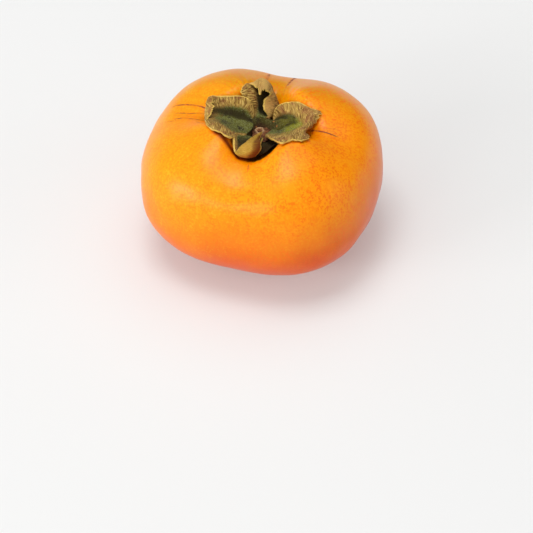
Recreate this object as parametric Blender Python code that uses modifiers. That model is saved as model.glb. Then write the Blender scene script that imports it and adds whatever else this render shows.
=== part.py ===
"""A ripe squat persimmon, as picked: the fruit, its four-lobed calyx, the stub of its stalk and the dried
blossom point under it.

Metres, +Z up. The origin is the middle of the fruit's footprint on the surface that it rests on, and the
sepal that is nearest to +X has a little more leaf behind it than in front.
"""

from dataclasses import dataclass
from math import pi, radians

import bmesh
import bpy
import numpy as np

# The fruit's body
EQUATOR_RADIUS = 0.0400
CROWN_RISE = 0.0289
CROWN_FULLNESS = 2.47
BASE_DROP = 0.0271
BASE_FULLNESS = 2.115
FLAT_SPOT_CUT = 0.0010
LOBE_AZIMUTH = radians(29.5)
LOBE_SWELL = 0.037
OVALITY = 0.035
OVAL_AZIMUTH = radians(-19)
CROWN_TILT = (0.024, -0.024)
POLE_GATHER = 0.35
DENT_FADE = 0.35
SLOPE_STEP = 0.0002
MERIDIANS = 64
PARALLELS = 44

# The four furrows down the crown and the star-shaped hollow that holds the calyx
FURROW_DEPTH = 0.0035
FURROW_RADIUS = 0.022
FURROW_SPREAD = 0.011
FURROW_SHARPNESS = 1.3
HOLLOW_DEPTH = 0.0140
HOLLOW_RADIUS = 0.0118
HOLLOW_ARM = 0.0042

# The underside: a dimple at the blossom end, and four shallow grooves
DIMPLE_DEPTH = 0.0026
DIMPLE_RADIUS = 0.0050
GROOVE_DEPTH = 0.0013
GROOVE_RADIUS = 0.0160
GROOVE_SPREAD = 0.0070

# The calyx
GAP = 0.0003
FACET_SPARE = 0.00015
BLADE_THICKNESS = 0.0008
DISC_RADIUS = 0.0095
DISC_THICKNESS = 0.0014
DISC_MERIDIANS = 28
DISC_PARALLELS = 12
ROOT_RADIUS = 0.0050
BLADE_ROWS = 14
BLADE_COLUMNS = 10
ROOT_WIDTH = 0.75
ROOT_REACH = 0.12
SWELL_REACH = 0.3
TIP_WIDTH = 0.05
MARGIN_WAVE = 0.30
MARGIN_WAVES = 3.3
OUTLINE_WAVE = 0.08

# The stalk's stub and the blossom point
STUB_RADIUS = 0.0036
STUB_HEIGHT = 0.0019
STUB_STEPS = 24
STUB_SHOULDER_RADIUS = 0.0031
STUB_SHOULDER_DROP = 0.0004
STUB_RIM_DROP = 0.0009
STUB_WAIST_RADIUS = 0.0034
STUB_WAIST_RISE = 0.0003
STUB_FOOT_RADIUS = 0.0029
PITH_RADIUS = 0.0008
PITH_DEPTH = 0.00035
RING_INNER_RADIUS = 0.0011
RING_OUTER_RADIUS = 0.0017
RING_FOOT_RADIUS = 0.0020
RING_HEIGHT = 0.00025
POINT_LENGTH = 0.0010
POINT_ROOT_RADIUS = 0.0009
POINT_TIP_RADIUS = 0.0004
POINT_SIDES = 12

EQUATOR_HEIGHT = BASE_DROP - FLAT_SPOT_CUT


@dataclass(frozen=True)
class Sepal:
    """One lobe of the calyx. Angles are in degrees, and each run of them goes from root to tip."""

    azimuth: float
    length: float
    half_width: float
    rise: tuple
    left_turn: tuple
    left_edge: tuple
    right_turn: tuple
    right_edge: tuple
    widest: tuple
    bluntness: tuple
    wave_start: float
    creases: tuple = (0.5, 0.5)
    shares: tuple = (1.0, 1.0)
    skew: float = 0.0


@dataclass(frozen=True)
class CurledSepal:
    """A lobe that lies in its furrow as far as a slanting line, and curls up and back over it."""

    azimuth: float
    length: float
    half_width: float
    widest: float
    bluntness: float
    curl_start: float
    curl_slant: float
    curl_radius: float
    curl_turn: float
    wave_start: float


SEPALS = (
    Sepal(azimuth=170, length=0.0188, half_width=0.0094, rise=(28, 22, 14, 22, 70, 100),
          left_turn=(10, 0, 0, 0), left_edge=(0, -40, -40, 0, 0),
          right_turn=(76, 78, 66, 45, 15, 0), right_edge=(10, 0, 0, 0),
          widest=(0.40, 0.65), bluntness=(1.6, 3.0), wave_start=0.4, creases=(0.6, 0.35), shares=(1.25, 1.0)),
    Sepal(azimuth=86, length=0.0185, half_width=0.0085, rise=(30, 28, 26, 20, -20),
          left_turn=(60, 66, 40, 10), left_edge=(0, -70, -110, -60),
          right_turn=(60, 68, 50, 10), right_edge=(10, 80, 80, 0),
          widest=(0.35, 0.45), bluntness=(1.3, 1.5), wave_start=1.4, creases=(0.45, 0.5)),
    Sepal(azimuth=7, length=0.0180, half_width=0.0095, rise=(30, 26, 18, 14, 8),
          left_turn=(76, 74, 34, 5), left_edge=(0, 5, 0, 0),
          right_turn=(20, 10, 5, 0), right_edge=(-20, -70, -60, -10),
          widest=(0.12, 0.30), bluntness=(1.2, 1.3), wave_start=2.4, creases=(0.4, 0.6), shares=(1.0, 1.2)),
)

CURLED_SEPAL = CurledSepal(azimuth=247, length=0.0240, half_width=0.0064, widest=0.30, bluntness=1.3,
                           curl_start=0.0105, curl_slant=-15, curl_radius=0.0022, curl_turn=158,
                           wave_start=3.4)


def smooth_step(value):
    """0 below 0, 1 above 1, and an S-curve between."""
    held = np.clip(value, 0, 1)
    return held * held * (3 - 2 * held)


def along(stops, share):
    """A smooth run through stops that lie evenly from share 0 to share 1."""
    stops = np.asarray(stops if len(stops) > 1 else stops * 2, dtype=float)
    place = np.clip(share, 0, 1) * (len(stops) - 1)
    first = np.minimum(place.astype(int), len(stops) - 2)
    blend = smooth_step(place - first)
    return stops[first] * (1 - blend) + stops[first + 1] * blend


def plan_radius(azimuth):
    """Radius of the undented fruit at the equator: a rounded square, drawn out a little one way."""
    square = LOBE_SWELL * np.cos(4 * (azimuth - LOBE_AZIMUTH))
    oval = OVALITY * np.cos(2 * (azimuth - OVAL_AZIMUTH))
    return EQUATOR_RADIUS * (1 + square + oval)


def furrow_share(azimuth):
    """1 in the middle of a furrow and 0 on top of a lobe."""
    return (0.5 - 0.5 * np.cos(4 * (azimuth - LOBE_AZIMUTH))) ** FURROW_SHARPNESS


def crown_dent(radius, azimuth):
    """Depth of the furrows and of the calyx hollow below the undented crown."""
    share = furrow_share(azimuth)
    furrow = FURROW_DEPTH * share * np.exp(-((radius - FURROW_RADIUS) / FURROW_SPREAD) ** 2)
    hollow = HOLLOW_DEPTH * np.exp(-(radius / (HOLLOW_RADIUS + HOLLOW_ARM * share)) ** 4)
    return furrow + hollow


def crown_height(x, y):
    """Height of the skin on the crown, over points well inside the equator."""
    radius = np.hypot(x, y)
    azimuth = np.arctan2(y, x)
    dome = (1 - (radius / plan_radius(azimuth)) ** CROWN_FULLNESS) ** (1 / CROWN_FULLNESS)
    tilt = CROWN_TILT[0] * x + CROWN_TILT[1] * y
    return EQUATOR_HEIGHT + CROWN_RISE * dome - crown_dent(radius, azimuth) + tilt


def above_crown(x, y, distance):
    """Height of a surface that lies a distance off the skin, measured square to the skin's slope."""
    slope_x = (crown_height(x + SLOPE_STEP, y) - crown_height(x - SLOPE_STEP, y)) / (2 * SLOPE_STEP)
    slope_y = (crown_height(x, y + SLOPE_STEP) - crown_height(x, y - SLOPE_STEP)) / (2 * SLOPE_STEP)
    return crown_height(x, y) + distance * np.sqrt(1 + slope_x ** 2 + slope_y ** 2)


def mesh_points(mesh):
    """The mesh's points as rows of x, y and z."""
    flat = np.empty(len(mesh.vertices) * 3)
    mesh.vertices.foreach_get("co", flat)
    return flat.reshape(-1, 3)


def set_mesh_points(mesh, points):
    """Moves the mesh's points to the given rows of x, y and z."""
    mesh.vertices.foreach_set("co", points.ravel())
    mesh.update()


def make_material(name, colour, roughness):
    """A plain non-metallic Principled material."""
    material = bpy.data.materials.new(name)
    material.use_nodes = True
    shader = material.node_tree.nodes["Principled BSDF"]
    shader.inputs["Base Color"].default_value = (*colour, 1)
    shader.inputs["Roughness"].default_value = roughness
    shader.inputs["Metallic"].default_value = 0
    material.diffuse_color = (*colour, 1)
    return material


def mesh_object(name, form, collection, material=None):
    """An object whose mesh is taken from a bmesh."""
    mesh = bpy.data.meshes.new(name)
    form.to_mesh(mesh)
    form.free()
    item = bpy.data.objects.new(name, mesh)
    collection.objects.link(item)
    if material:
        mesh.materials.append(material)
    return item


def make_fruit(collection, material):
    """The fruit's body: a sphere drawn out to lobes, dented on top and flattened underneath."""
    form = bmesh.new()
    bmesh.ops.create_uvsphere(form, u_segments=MERIDIANS, v_segments=PARALLELS, radius=1)
    fruit = mesh_object("fruit", form, collection, material)
    points = mesh_points(fruit.data)
    azimuth = np.arctan2(points[:, 1], points[:, 0])
    polar = np.arccos(np.clip(points[:, 2], -1, 1))
    polar = polar - POLE_GATHER / 2 * np.sin(2 * polar)
    across, height = np.sin(polar), np.cos(polar)
    upper = height > 0
    drop = np.where(upper, CROWN_RISE, BASE_DROP)
    fullness = np.where(upper, CROWN_FULLNESS, BASE_FULLNESS)
    roundness = (across / plan_radius(azimuth)) ** fullness + (np.abs(height) / drop) ** fullness
    reach = roundness ** (-1 / fullness)
    radius, z = reach * across, reach * height

    x, y = radius * np.cos(azimuth), radius * np.sin(azimuth)
    crown = smooth_step(height / DENT_FADE)
    z = z + crown * (CROWN_TILT[0] * x + CROWN_TILT[1] * y - crown_dent(radius, azimuth))
    groove = GROOVE_DEPTH * furrow_share(azimuth) * np.exp(-((radius - GROOVE_RADIUS) / GROOVE_SPREAD) ** 2)
    dimple = DIMPLE_DEPTH * np.exp(-(radius / DIMPLE_RADIUS) ** 2)
    z = z + smooth_step(-height / DENT_FADE) * (groove + dimple)
    set_mesh_points(fruit.data, np.column_stack([x, y, np.maximum(EQUATOR_HEIGHT + z, 0)]))
    fruit.data.shade_smooth()
    return fruit


def make_disc(collection, material):
    """The calyx's fleshy middle: a flattened sphere laid into the bottom of the hollow."""
    form = bmesh.new()
    bmesh.ops.create_uvsphere(form, u_segments=DISC_MERIDIANS, v_segments=DISC_PARALLELS, radius=1)
    disc = mesh_object("calyx", form, collection, material)
    points = mesh_points(disc.data)
    x, y = points[:, 0] * DISC_RADIUS, points[:, 1] * DISC_RADIUS
    middle = above_crown(x, y, GAP + FACET_SPARE + DISC_THICKNESS / 2)
    set_mesh_points(disc.data, np.column_stack([x, y, middle + points[:, 2] * DISC_THICKNESS / 2]))
    return disc


def root_flare(u):
    """Width of a sepal near its root, as a share of its full width."""
    return ROOT_WIDTH + (1 - ROOT_WIDTH) * np.sin(pi / 2 * np.clip(u / ROOT_REACH, 0, 1))


def blade_points(sepal, u, v):
    """Points of a sepal's middle surface.

    u runs from root (0) to tip (1), and v from the clockwise margin (-1) to the other one (1). The midrib
    climbs by the sepal's rise and sways by its skew. From the midrib each half turns up by its turn, as
    far as its crease, and then by its edge as well, with waves that grow towards the margin.
    """
    azimuth = radians(sepal.azimuth)
    yaw = azimuth + radians(sepal.skew) * u ** 2
    climb = np.radians(along(sepal.rise, u))
    forward = np.stack([np.cos(climb) * np.cos(yaw), np.cos(climb) * np.sin(yaw), np.sin(climb)], axis=1)
    sideways = np.stack([-np.sin(yaw), np.cos(yaw), 0 * yaw], axis=1)
    outward = np.cross(forward, sideways)
    steps = (forward[1:] + forward[:-1]) / 2 * sepal.length * np.diff(u)[:, None]
    root_x, root_y = ROOT_RADIUS * np.cos(azimuth), ROOT_RADIUS * np.sin(azimuth)
    root_z = above_crown(root_x, root_y, GAP + FACET_SPARE + BLADE_THICKNESS)
    midrib = np.vstack([np.zeros(3), np.cumsum(steps, axis=0)]) + (root_x, root_y, root_z)

    flare = root_flare(u)
    half = len(v) // 2
    distance = np.linspace(0, 1, half + 1)
    middle = (distance[1:] + distance[:-1]) / 2
    points = np.zeros((len(u), len(v), 3))
    sides = zip((1, -1), (sepal.left_turn, sepal.right_turn), (sepal.left_edge, sepal.right_edge),
                sepal.creases, sepal.shares, sepal.widest, sepal.bluntness)
    for side, turn, edge, crease, share, widest, bluntness in sides:
        bend = np.radians(along(turn, u))[:, None] * smooth_step(middle / crease)
        bend = bend + np.radians(along(edge, u))[:, None] * smooth_step((middle - crease) / (1 - crease))
        wave = np.sin(2 * pi * MARGIN_WAVES * u + sepal.wave_start + side)
        bend = bend + MARGIN_WAVE * wave[:, None] * middle ** 3
        taper = 1 - np.clip((u - widest) / (1 - widest), 0, 1) ** bluntness
        swell = 1 + (share - 1) * np.clip(u / SWELL_REACH, 0, 1)
        cell = (sepal.half_width * np.maximum(flare * taper, TIP_WIDTH) * swell / half)[:, None]
        level = np.hstack([np.zeros((len(u), 1)), np.cumsum(np.cos(bend) * cell, axis=1)])
        lift = np.hstack([np.zeros((len(u), 1)), np.cumsum(np.sin(bend) * cell, axis=1)])
        strip = (midrib[:, None] + side * level[:, :, None] * sideways[:, None]
                 + lift[:, :, None] * outward[:, None])
        if side == 1:
            points[:, half:] = strip
        else:
            points[:, :half + 1] = strip[:, ::-1]
    lowest = above_crown(points[..., 0], points[..., 1], GAP + FACET_SPARE + BLADE_THICKNESS / 2)
    points[..., 2] = np.maximum(points[..., 2], lowest)
    return points


def curled_points(sepal, u, v):
    """Points of the curled sepal's middle surface, for u from root to tip and v from -1 to 1 across it.

    Up to the curl's line the blade lies off the skin. Past it, a point at a distance beyond its foot on
    the line goes round an arc of the curl's radius, and straight on once the arc has turned far enough.
    """
    azimuth = radians(sepal.azimuth)
    slant = radians(sepal.curl_slant)
    taper = 1 - np.clip((u - sepal.widest) / (1 - sepal.widest), 0, 1) ** sepal.bluntness
    wave = 1 + OUTLINE_WAVE * np.sin(2 * pi * MARGIN_WAVES * u + sepal.wave_start)
    width = sepal.half_width * np.maximum(root_flare(u) * taper * wave, TIP_WIDTH)
    forth = np.repeat((u * sepal.length)[:, None], len(v), axis=1)
    aside = width[:, None] * v
    beyond = (forth - sepal.curl_start) * np.cos(slant) + aside * np.sin(slant)
    beyond = np.maximum(beyond, 0)
    foot_forth = ROOT_RADIUS + forth - beyond * np.cos(slant)
    foot_aside = aside - beyond * np.sin(slant)
    foot_x = foot_forth * np.cos(azimuth) - foot_aside * np.sin(azimuth)
    foot_y = foot_forth * np.sin(azimuth) + foot_aside * np.cos(azimuth)
    foot_z = above_crown(foot_x, foot_y, GAP + 2 * FACET_SPARE + BLADE_THICKNESS / 2)
    foot = np.stack([foot_x, foot_y, foot_z], axis=-1)
    onward = np.array([np.cos(azimuth + slant), np.sin(azimuth + slant), 0])
    upward = np.array([0, 0, 1])
    full = radians(sepal.curl_turn)
    turned = np.minimum(beyond / sepal.curl_radius, full)[..., None]
    straight = np.maximum(beyond - sepal.curl_radius * full, 0)[..., None]
    return (foot + onward * (sepal.curl_radius * np.sin(turned) + straight * np.cos(turned))
            + upward * (sepal.curl_radius * (1 - np.cos(turned)) + straight * np.sin(turned)))


def make_blade(index, sepal, collection):
    """One sepal: a grid bent to its curled form and given its thickness."""
    form = bmesh.new()
    bmesh.ops.create_grid(form, x_segments=BLADE_ROWS, y_segments=BLADE_COLUMNS, size=1)
    blade = mesh_object(f"blade_{index}", form, collection)
    flat = mesh_points(blade.data)
    u = np.linspace(0, 1, BLADE_ROWS + 1)
    v = np.linspace(-1, 1, BLADE_COLUMNS + 1)
    row = np.rint((flat[:, 0] + 1) / 2 * BLADE_ROWS).astype(int)
    column = np.rint((flat[:, 1] + 1) / 2 * BLADE_COLUMNS).astype(int)
    shape = curled_points if isinstance(sepal, CurledSepal) else blade_points
    set_mesh_points(blade.data, shape(sepal, u, v)[row, column])
    form = bmesh.new()
    form.from_mesh(blade.data)
    bmesh.ops.triangulate(form, faces=form.faces, quad_method="FIXED")
    form.to_mesh(blade.data)
    form.free()
    skin = blade.modifiers.new("thickness", "SOLIDIFY")
    skin.thickness = BLADE_THICKNESS
    skin.offset = 0
    return blade


def apply_modifiers(item):
    """Replaces an object's mesh by what its modifiers make of it."""
    shaped = item.evaluated_get(bpy.context.evaluated_depsgraph_get())
    mesh = bpy.data.meshes.new_from_object(shaped)
    item.modifiers.clear()
    item.data = mesh


def keep_outer_shell(mesh):
    """Fills the small hollows that growing together has sealed, by removing every shell but the largest."""
    form = bmesh.new()
    form.from_mesh(mesh)
    unseen = set(form.verts)
    shells = []
    while unseen:
        front = [unseen.pop()]
        shell = set(front)
        while front:
            near = {edge.other_vert(vertex) for vertex in front for edge in vertex.link_edges}
            front = list(near & unseen)
            unseen -= near
            shell |= set(front)
        shells.append(shell)
    outer = max(shells, key=len)
    loose = [vertex for vertex in form.verts if vertex not in outer]
    bmesh.ops.delete(form, geom=loose, context="VERTS")
    form.to_mesh(mesh)
    form.free()


def make_calyx(collection, material):
    """The fleshy middle and its four sepals, grown together as one body."""
    disc = make_disc(collection, material)
    blades = bpy.data.collections.new("sepals")
    bpy.context.scene.collection.children.link(blades)
    for index, sepal in enumerate((*SEPALS, CURLED_SEPAL)):
        apply_modifiers(make_blade(index, sepal, blades))
    union = disc.modifiers.new("sepals", "BOOLEAN")
    union.operation = "UNION"
    union.operand_type = "COLLECTION"
    union.collection = blades
    apply_modifiers(disc)
    for blade in list(blades.objects):
        bpy.data.objects.remove(blade)
    bpy.data.collections.remove(blades)
    keep_outer_shell(disc.data)
    disc.data.materials.clear()
    disc.data.materials.append(material)
    disc.data.shade_smooth()
    return disc


def make_stub(collection, material):
    """The stalk's stub: a low turned button with a raised ring round its pith."""
    seat = float(above_crown(0.0, 0.0, GAP + FACET_SPARE + DISC_THICKNESS)) + GAP
    top = seat + STUB_HEIGHT
    profile = [
        (0, top - PITH_DEPTH),
        (PITH_RADIUS, top - PITH_DEPTH),
        (RING_INNER_RADIUS, top),
        (RING_OUTER_RADIUS, top),
        (RING_FOOT_RADIUS, top - RING_HEIGHT),
        (STUB_SHOULDER_RADIUS, top - STUB_SHOULDER_DROP),
        (STUB_RADIUS, top - STUB_RIM_DROP),
        (STUB_WAIST_RADIUS, seat + STUB_WAIST_RISE),
        (STUB_FOOT_RADIUS, seat),
        (0, seat),
    ]
    mesh = bpy.data.meshes.new("stalk_stub")
    edges = [(index, index + 1) for index in range(len(profile) - 1)]
    mesh.from_pydata([(radius, 0, z) for radius, z in profile], edges, [])
    stub = bpy.data.objects.new("stalk_stub", mesh)
    collection.objects.link(stub)
    mesh.materials.append(material)
    screw = stub.modifiers.new("turned", "SCREW")
    screw.axis = "Z"
    screw.angle = 2 * pi
    screw.steps = STUB_STEPS
    screw.render_steps = STUB_STEPS
    screw.use_merge_vertices = True
    screw.merge_threshold = 0.00001
    return stub


def make_blossom_point(collection, material):
    """The dried tip of the blossom, standing down from the dimple under the fruit."""
    root = EQUATOR_HEIGHT - BASE_DROP + DIMPLE_DEPTH - GAP - FACET_SPARE
    form = bmesh.new()
    bmesh.ops.create_cone(form, cap_ends=True, segments=POINT_SIDES, radius1=POINT_TIP_RADIUS,
                          radius2=POINT_ROOT_RADIUS, depth=POINT_LENGTH)
    bmesh.ops.translate(form, verts=form.verts, vec=(0, 0, root - POINT_LENGTH / 2))
    return mesh_object("blossom_point", form, collection, material)


def main():
    for item in list(bpy.data.objects):
        bpy.data.objects.remove(item)
    persimmon = bpy.data.collections.new("persimmon")
    bpy.context.scene.collection.children.link(persimmon)
    make_fruit(persimmon, make_material("skin", (0.96, 0.36, 0.015), 0.38))
    make_calyx(persimmon, make_material("dry_leaf", (0.21, 0.19, 0.06), 0.8))
    make_stub(persimmon, make_material("cork", (0.07, 0.028, 0.018), 0.75))
    make_blossom_point(persimmon, make_material("dried_blossom", (0.03, 0.016, 0.01), 0.85))


main()
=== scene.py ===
"""The looks of a ripe squat persimmon around its solids, in metres, with +Z up and the fruit on z = 0.

Each part is a surface worked out on a grid of two parameters. Each finish is a set of shader nodes on the
part's own coordinates or attributes.
"""

import logging
from dataclasses import dataclass
from enum import Enum
from math import cos, pi, radians, sin

import bpy
import numpy as np
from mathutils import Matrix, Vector


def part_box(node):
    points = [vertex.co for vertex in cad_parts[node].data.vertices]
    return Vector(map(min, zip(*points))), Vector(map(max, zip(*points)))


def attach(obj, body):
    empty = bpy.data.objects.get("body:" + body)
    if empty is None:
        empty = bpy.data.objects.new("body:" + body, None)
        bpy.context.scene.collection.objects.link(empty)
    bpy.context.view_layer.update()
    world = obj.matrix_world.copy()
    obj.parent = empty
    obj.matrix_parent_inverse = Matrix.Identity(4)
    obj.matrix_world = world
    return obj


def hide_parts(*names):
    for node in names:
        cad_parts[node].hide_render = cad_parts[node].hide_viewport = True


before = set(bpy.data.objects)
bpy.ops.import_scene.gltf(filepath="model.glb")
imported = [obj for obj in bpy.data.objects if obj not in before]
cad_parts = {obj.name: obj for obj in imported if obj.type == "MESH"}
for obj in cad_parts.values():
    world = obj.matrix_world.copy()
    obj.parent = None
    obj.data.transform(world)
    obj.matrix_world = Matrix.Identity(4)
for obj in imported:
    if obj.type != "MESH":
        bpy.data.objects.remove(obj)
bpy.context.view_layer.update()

Array = np.ndarray
Colour = tuple[float, float, float, float]
Row = tuple[tuple[int, int, int], ...]
Piece = bpy.types.Object

IMAGE_SIDE = 533
TENTHS = 10000
TINY = 1e-12
FAR = 1e3
WAVE_LENGTHS = (0.7, 1.5)
WAVE_HEIGHT = 0.8
DOWNY = {"Specular IOR Level": 0.2, "Sheen Weight": 0.03, "Sheen Roughness": 0.5}
# The Mix node's inputs and its output where it mixes colours.
FACTOR, UNDER, OVER, BLEND = 0, 6, 7, 2
BODY = "root"

log = logging.getLogger("persimmon")


class Slot(Enum):
    """The named finishes that a piece may take."""

    SKIN = "skin"
    LEAF = "dry_leaf"
    CORK = "cork"
    BLOSSOM = "dried_blossom"


# Numbers and waves


def paint(red: float, green: float, blue: float) -> Colour:
    """A colour as a screen shows it, 0 to 255 a channel, in linear light by the screens' standard curve."""
    shares = np.array([red, green, blue]) / 255
    return (*np.where(shares <= 0.04045, shares / 12.92, ((shares + 0.055) / 1.055) ** 2.4).tolist(), 1.0)


def smooth_step(value: Array, low: float = 0.0, high: float = 1.0) -> Array:
    """An S-curve from 0 at low to 1 at high: t * t * (3 - 2t), where t is the value's place between them."""
    held = np.clip((value - low) / (high - low), 0, 1)
    return held * held * (3 - 2 * held)


def bell(offset: Array, width: float | Array, power: float = 2) -> Array:
    """A bell curve, 1 where the offset is 0: exp(-(offset / width) ^ power)."""
    return np.exp(-(offset / width) ** power)


def along(stops: tuple[float, ...], share: Array) -> Array:
    """A run through stops that lie evenly from share 0 to share 1, with an S-curve from each to the next."""
    first, part = np.divmod(share * (len(stops) - 1), 1)
    return np.interp(first + smooth_step(part), np.arange(len(stops)), stops)


def ripples(points: Array, wavelength: float, count: int, seed: int) -> Array:
    """Soft irregular waves: the mean of several plane waves with seeded directions, lengths and phases.

    Args:
        points: Points, with their coordinates along the last axis.
        wavelength: The waves' middle length.
        count: How many waves there are.
        seed: The draw's seed.

    Returns:
        One value a point, mostly from -1 to 1.
    """
    draw = np.random.default_rng(seed)
    directions = draw.normal(size=(count, points.shape[-1]))
    directions /= np.linalg.norm(directions, axis=1)[:, None]
    lengths = wavelength * draw.uniform(*WAVE_LENGTHS, count)
    phases = draw.uniform(0, 2 * pi, count)
    waves = np.sin(2 * pi * (points @ directions.T) / lengths + phases)
    return waves.sum(axis=-1) / np.sqrt(count) * WAVE_HEIGHT


# Meshes


def as_points(*coordinates: Array) -> Array:
    """Points from two or three coordinates, which are spread over one grid first."""
    return np.stack(np.broadcast_arrays(*coordinates), axis=-1)


def off_centre(radius: Array, azimuth: Array) -> tuple[Array, Array]:
    """East and north coordinates at level distances and directions: radius times cosine and sine."""
    return radius * np.cos(azimuth), radius * np.sin(azimuth)


def globe_grid(rings: int, ring_points: int) -> tuple[Array, Array]:
    """Turns from the upper pole to the lower one, down a column, and directions round, along a row."""
    directions = np.linspace(0, 2 * pi, ring_points, endpoint=False)
    return np.linspace(0, pi, rings + 1)[:, None], directions[None, :]


def grid_faces(index: Array) -> Array:
    """Faces on a grid of point numbers, anticlockwise where rows run up and columns run right."""
    corners = [index[:-1, :-1], index[:-1, 1:], index[1:, 1:], index[1:, :-1]]
    return np.stack(corners, axis=-1).reshape(-1, 4)


def pole_to_pole(rings: Array) -> tuple[Array, list[list[int]]]:
    """Closes a stack of rings into one round body, with the first and the last drawn into a point each.

    Args:
        rings: Points as (rings, points a ring, 3), from the top down, anticlockwise from above.

    Returns:
        The points, and the faces, which point outwards.
    """
    rows, columns = rings.shape[:2]
    points = np.vstack([rings[0].mean(axis=0), rings[1:-1].reshape(-1, 3), rings[-1].mean(axis=0)])
    index = 1 + np.arange((rows - 2) * columns).reshape(rows - 2, columns)
    index = np.hstack([index, index[:, :1]])
    top = np.column_stack([index[0, :-1], index[0, 1:], np.zeros(columns, int)])
    bottom = np.column_stack([index[-1, 1:], index[-1, :-1], np.full(columns, len(points) - 1)])
    return points, grid_faces(index)[:, ::-1].tolist() + top.tolist() + bottom.tolist()


def ring_values(values: Array) -> Array:
    """The values of pole_to_pole's points, from one value for each point of its rings."""
    return np.concatenate([[values[0].mean()], values[1:-1].ravel(), [values[-1].mean()]])


def sheet_normals(points: Array) -> Array:
    """Unit normals of a grid surface: the cross product of its slopes along its two parameters."""
    normals = np.cross(np.gradient(points, axis=0), np.gradient(points, axis=1))
    return normals / np.maximum(np.linalg.norm(normals, axis=-1, keepdims=True), TINY)


def closed_blade(middle: Array, thickness: Array) -> tuple[Array, list[list[int]], Array, Array]:
    """The two faces of a blade, each half of the thickness off its middle surface, which share its outline.

    Args:
        middle: The middle surface's points as (rows, columns, 3).
        thickness: The blade's thickness at each of them.

    Returns:
        The points; the faces; each point's grid point; and its side, 1 above, -1 below, 0 on the outline.
    """
    rows, columns = middle.shape[:2]
    number = np.arange(rows * columns).reshape(rows, columns)
    inner = np.zeros((rows, columns), bool)
    inner[1:-1, 1:-1] = True
    offset = sheet_normals(middle) * (thickness * inner)[..., None] / 2
    points = np.vstack([(middle + offset).reshape(-1, 3), (middle - offset)[inner]])
    beneath = number.copy()
    beneath[inner] = rows * columns + np.arange(inner.sum())
    faces = np.vstack([grid_faces(number)[:, ::-1], grid_faces(beneath)])
    source = np.concatenate([number.ravel(), number[inner]])
    side = np.concatenate([inner.ravel().astype(float), -np.ones(inner.sum())])
    return points, faces.tolist(), source, side


def make_piece(name: str, points: Array, faces: list[list[int]], material: bpy.types.Material,
               attributes: dict[str, Array]) -> Piece:
    """A smooth mesh object at the origin, with its place in its mesh.

    Args:
        name: Its name.
        points: Its points, one row each.
        faces: Its faces, as point numbers.
        material: Its finish.
        attributes: Named values of its points.

    Returns:
        The object.
    """
    mesh = bpy.data.meshes.new(name)
    mesh.from_pydata(points.tolist(), [], faces)
    for label, values in attributes.items():
        layer = mesh.attributes.new(label, "FLOAT", "POINT")
        layer.data.foreach_set("value", np.ascontiguousarray(values, dtype=np.float32))
    mesh.materials.append(material)
    mesh.shade_smooth()
    piece = bpy.data.objects.new(name, mesh)
    bpy.context.scene.collection.objects.link(piece)
    return piece


def settle(piece: Piece, node: str) -> Piece:
    """Puts a piece on the fruit's body, in its solid's place.

    Args:
        piece: The piece.
        node: The solid.

    Returns:
        The piece.
    """
    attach(piece, BODY)
    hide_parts(node)
    return piece


# Shader nodes


@dataclass(frozen=True)
class Signal:
    """A shader node's output, on which sums work as on a number."""

    bench: "Bench"
    socket: bpy.types.NodeSocket

    def _math(self, operation: str, first: object, second: object = 0.0) -> "Signal":
        """One Math node on two values."""
        return self.bench.node("Math", {"operation": operation}, {0: first, 1: second})

    def __add__(self, other: object) -> "Signal":
        """self + other"""
        return self._math("ADD", self, other)

    def __sub__(self, other: object) -> "Signal":
        """self - other"""
        return self._math("SUBTRACT", self, other)

    def __rsub__(self, other: float) -> "Signal":
        """other - self"""
        return self._math("SUBTRACT", other, self)

    def __mul__(self, other: object) -> "Signal":
        """self * other"""
        return self._math("MULTIPLY", self, other)

    def __abs__(self) -> "Signal":
        """The size of self, without its sign."""
        return self._math("ABSOLUTE", self)

    __radd__ = __add__
    __rmul__ = __mul__

    def root(self) -> "Signal":
        """The square root of self."""
        return self._math("SQRT", self)

    def rise(self, low: float, high: float) -> "Signal":
        """An S-curve of self, from 0 at low to 1 at high; low may lie above high."""
        ends = {"From Min": low, "From Max": high, "Value": self}
        return self.bench.node("MapRange", {"interpolation_type": "SMOOTHSTEP"}, ends)


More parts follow.
